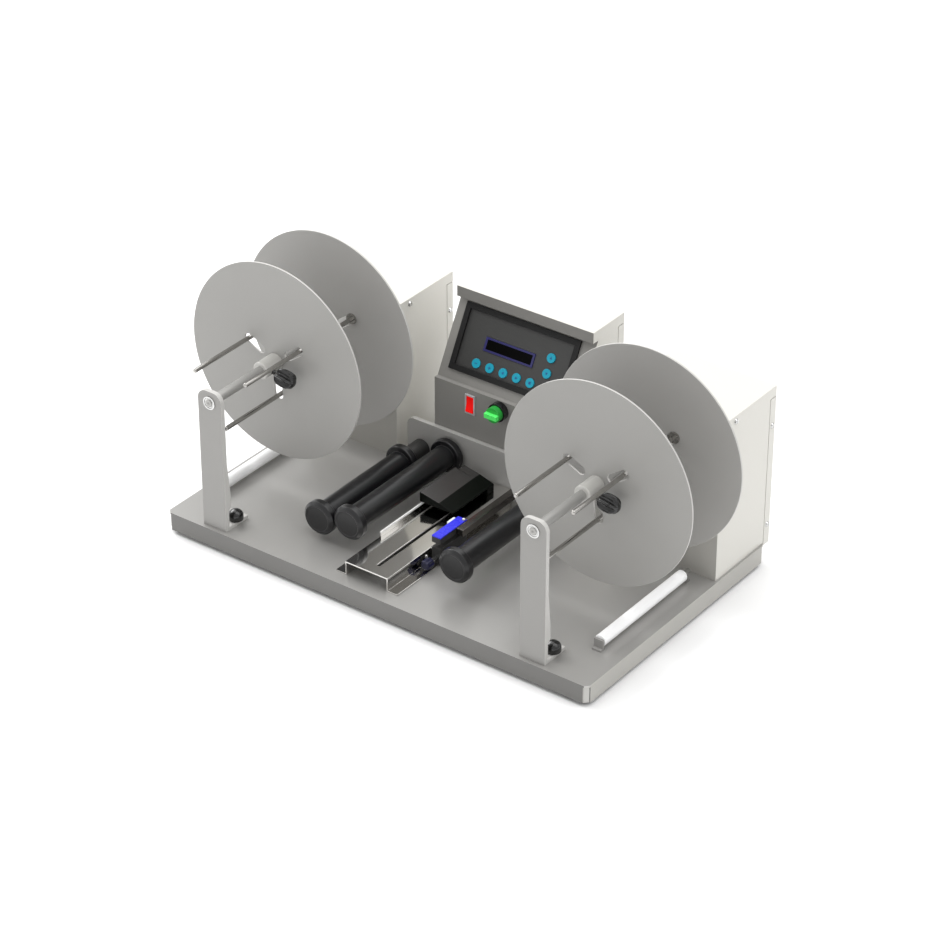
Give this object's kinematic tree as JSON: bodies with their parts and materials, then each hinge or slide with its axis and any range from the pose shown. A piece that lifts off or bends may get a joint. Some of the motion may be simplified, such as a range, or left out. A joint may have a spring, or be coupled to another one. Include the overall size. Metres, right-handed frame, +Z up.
{
  "type": "label counter rewinder",
  "caption": "Desk-top label counter and rewinder: disc spindles at both ends of a folded tray, flanged guide rollers, a slotted web guide with sensors and a sloping control console.",
  "frame": {"origin": "middle of the footprint's bounding box, on the floor under the rubber feet", "axes": "+X to the operator's right along the web, +Y from the operator towards the console, +Z up"},
  "size_m": [0.5856, 0.309, 0.2679],
  "materials": {
    "painted_grey": "satin powder coat, warm light grey",
    "painted_cream": "satin powder coat, cream white",
    "painted_disc": "satin powder coat, light grey",
    "bright_steel": "polished bright steel",
    "stainless": "polished stainless sheet",
    "dull_steel": "plain turned steel",
    "rubber": "matt black rubber",
    "black_plastic": "fine-grained black plastic",
    "grey_plastic": "light grey plastic",
    "panel_grey": "dark grey printed membrane",
    "display": "dark display in a blue frame",
    "board_green": "green circuit board",
    "key_cyan": "cyan button",
    "rocker_red": "red rocker",
    "selector_green": "bright green knob",
    "cap_blue": "blue cap",
    "knob_navy": "navy knob",
    "white_plastic": "white roller"
  },
  "bodies": {
    "machine_frame": {"base_tray": "painted_grey", "rubber_feet": "rubber", "left_housing": "painted_cream", "right_housing": "painted_cream", "left_rear_cover": "painted_cream", "right_rear_cover": "painted_cream", "console_shell": "painted_cream", "console_rear_cover": "painted_cream", "cover_screws": "bright_steel", "panel_bezel": "black_plastic", "keypad_panel": "panel_grey", "lcd_module": "display", "control_board": "board_green", "rocker_bezel": "grey_plastic", "selector_base": "black_plastic", "power_inlet": "black_plastic", "roller_plate": "painted_grey", "roller_axles": "dull_steel", "tray_roller_stands": "dull_steel", "guide_channel": "stainless", "guide_fence": "stainless", "sensor_bar": "dull_steel", "shaft_bearings": "bright_steel", "left_bracket": "painted_grey", "right_bracket": "painted_grey", "drive_motor": "dull_steel", "unwind_brake": "dull_steel"},
    "button_1": {"key_1": "key_cyan"},
    "button_2": {"key_2": "key_cyan"},
    "button_3": {"key_3": "key_cyan"},
    "button_4": {"key_4": "key_cyan"},
    "button_5": {"key_5": "key_cyan"},
    "button_6": {"key_6": "key_cyan"},
    "button_7": {"key_7": "key_cyan"},
    "rocker": {"power_rocker": "rocker_red"},
    "selector": {"selector_knob": "selector_green"},
    "roller_1_body": {"roller_1": "black_plastic"},
    "roller_2_body": {"roller_2": "black_plastic"},
    "roller_3_body": {"roller_3": "black_plastic"},
    "left_tray_roller_body": {"left_tray_roller": "white_plastic"},
    "right_tray_roller_body": {"right_tray_roller": "white_plastic"},
    "hood": {"sensor_head": "black_plastic"},
    "fork": {"gap_sensor": "black_plastic", "sensor_cap": "cap_blue"},
    "fork_clamp": {"sensor_clamp_knob": "knob_navy"},
    "left_spindle": {"left_shaft": "bright_steel", "left_rear_disc": "painted_disc", "left_core_rods": "bright_steel"},
    "right_spindle": {"right_shaft": "bright_steel", "right_rear_disc": "painted_disc", "right_core_rods": "bright_steel", "shaft_coupling": "dull_steel"},
    "left_flange": {"left_front_disc": "painted_disc", "left_front_hub": "bright_steel"},
    "left_flange_screw": {"left_flange_knob": "black_plastic"},
    "left_bracket_screw": {"left_thumb_knob": "black_plastic"},
    "right_flange": {"right_front_disc": "painted_disc", "right_front_hub": "bright_steel"},
    "right_flange_screw": {"right_flange_knob": "black_plastic"},
    "right_bracket_screw": {"right_thumb_knob": "black_plastic"}
  },
  "joints": [
    {"name": "left_spindle_turn", "type": "hinge", "parent": "machine_frame", "child": "left_spindle", "pos_m": [-0.1888, 0, 0.1639], "axis": [0, 1, 0], "continuous": true},
    {"name": "left_flange_slide", "type": "slide", "parent": "left_spindle", "child": "left_flange", "axis": [0, 1, 0], "range_m": [-0.05, 0.06]},
    {"name": "left_flange_knob_turn", "type": "hinge", "parent": "left_flange", "child": "left_flange_screw", "pos_m": [-0.1888, -0.0657, 0.1639], "axis": [0.9816, 0, -0.1908], "range_deg": [0, 360]},
    {"name": "left_thumb_knob_turn", "type": "hinge", "parent": "machine_frame", "child": "left_bracket_screw", "pos_m": [-0.1788, -0.1301, 0.0274], "axis": [0, 0, 1], "range_deg": [0, 360]},
    {"name": "right_spindle_turn", "type": "hinge", "parent": "machine_frame", "child": "right_spindle", "pos_m": [0.1888, 0, 0.1639], "axis": [0, 1, 0], "continuous": true},
    {"name": "right_flange_slide", "type": "slide", "parent": "right_spindle", "child": "right_flange", "axis": [0, 1, 0], "range_m": [-0.05, 0.06]},
    {"name": "right_flange_knob_turn", "type": "hinge", "parent": "right_flange", "child": "right_flange_screw", "pos_m": [0.1888, -0.0657, 0.1639], "axis": [0.9816, 0, -0.1908], "range_deg": [0, 360]},
    {"name": "right_thumb_knob_turn", "type": "hinge", "parent": "machine_frame", "child": "right_bracket_screw", "pos_m": [0.1988, -0.1301, 0.0274], "axis": [0, 0, 1], "range_deg": [0, 360]},
    {"name": "roller_1_turn", "type": "hinge", "parent": "machine_frame", "child": "roller_1_body", "pos_m": [-0.0965, -0.0245, 0.046], "axis": [0, 1, 0], "continuous": true},
    {"name": "roller_2_turn", "type": "hinge", "parent": "machine_frame", "child": "roller_2_body", "pos_m": [-0.06, -0.0245, 0.054], "axis": [0, 1, 0], "continuous": true},
    {"name": "roller_3_turn", "type": "hinge", "parent": "machine_frame", "child": "roller_3_body", "pos_m": [0.0659, -0.0245, 0.054], "axis": [0, 1, 0], "continuous": true},
    {"name": "left_tray_roller_turn", "type": "hinge", "parent": "machine_frame", "child": "left_tray_roller_body", "pos_m": [-0.2266, -0.0245, 0.031], "axis": [0, 1, 0], "continuous": true},
    {"name": "right_tray_roller_turn", "type": "hinge", "parent": "machine_frame", "child": "right_tray_roller_body", "pos_m": [0.2266, -0.0245, 0.031], "axis": [0, 1, 0], "continuous": true},
    {"name": "key_1_press", "type": "slide", "parent": "machine_frame", "child": "button_1", "axis": [0, 0.8805, -0.4741], "range_m": [0, 0.001], "stiffness_N_per_m": 300},
    {"name": "key_2_press", "type": "slide", "parent": "machine_frame", "child": "button_2", "axis": [0, 0.8805, -0.4741], "range_m": [0, 0.001], "stiffness_N_per_m": 300},
    {"name": "key_3_press", "type": "slide", "parent": "machine_frame", "child": "button_3", "axis": [0, 0.8805, -0.4741], "range_m": [0, 0.001], "stiffness_N_per_m": 300},
    {"name": "key_4_press", "type": "slide", "parent": "machine_frame", "child": "button_4", "axis": [0, 0.8805, -0.4741], "range_m": [0, 0.001], "stiffness_N_per_m": 300},
    {"name": "key_5_press", "type": "slide", "parent": "machine_frame", "child": "button_5", "axis": [0, 0.8805, -0.4741], "range_m": [0, 0.001], "stiffness_N_per_m": 300},
    {"name": "key_6_press", "type": "slide", "parent": "machine_frame", "child": "button_6", "axis": [0, 0.8805, -0.4741], "range_m": [0, 0.001], "stiffness_N_per_m": 300},
    {"name": "key_7_press", "type": "slide", "parent": "machine_frame", "child": "button_7", "axis": [0, 0.8805, -0.4741], "range_m": [0, 0.001], "stiffness_N_per_m": 300},
    {"name": "power_rocker_tip", "type": "hinge", "parent": "machine_frame", "child": "rocker", "pos_m": [-0.0402, 0.0661, 0.1133], "axis": [1, 0, 0], "range_deg": [0, 18]},
    {"name": "selector_turn", "type": "hinge", "parent": "machine_frame", "child": "selector", "pos_m": [-0.0042, 0.0555, 0.119], "axis": [0, 1, 0], "range_deg": [0, 90]},
    {"name": "sensor_head_slide", "type": "slide", "parent": "machine_frame", "child": "hood", "axis": [0, 1, 0], "range_m": [-0.08, 0]},
    {"name": "gap_sensor_slide", "type": "slide", "parent": "machine_frame", "child": "fork", "axis": [0, 1, 0], "range_m": [0, 0.05]},
    {"name": "sensor_clamp_knob_turn", "type": "hinge", "parent": "fork", "child": "fork_clamp", "pos_m": [0.0223, -0.0845, 0.0314], "axis": [0, 1, 0], "range_deg": [0, 360]}
  ]
}
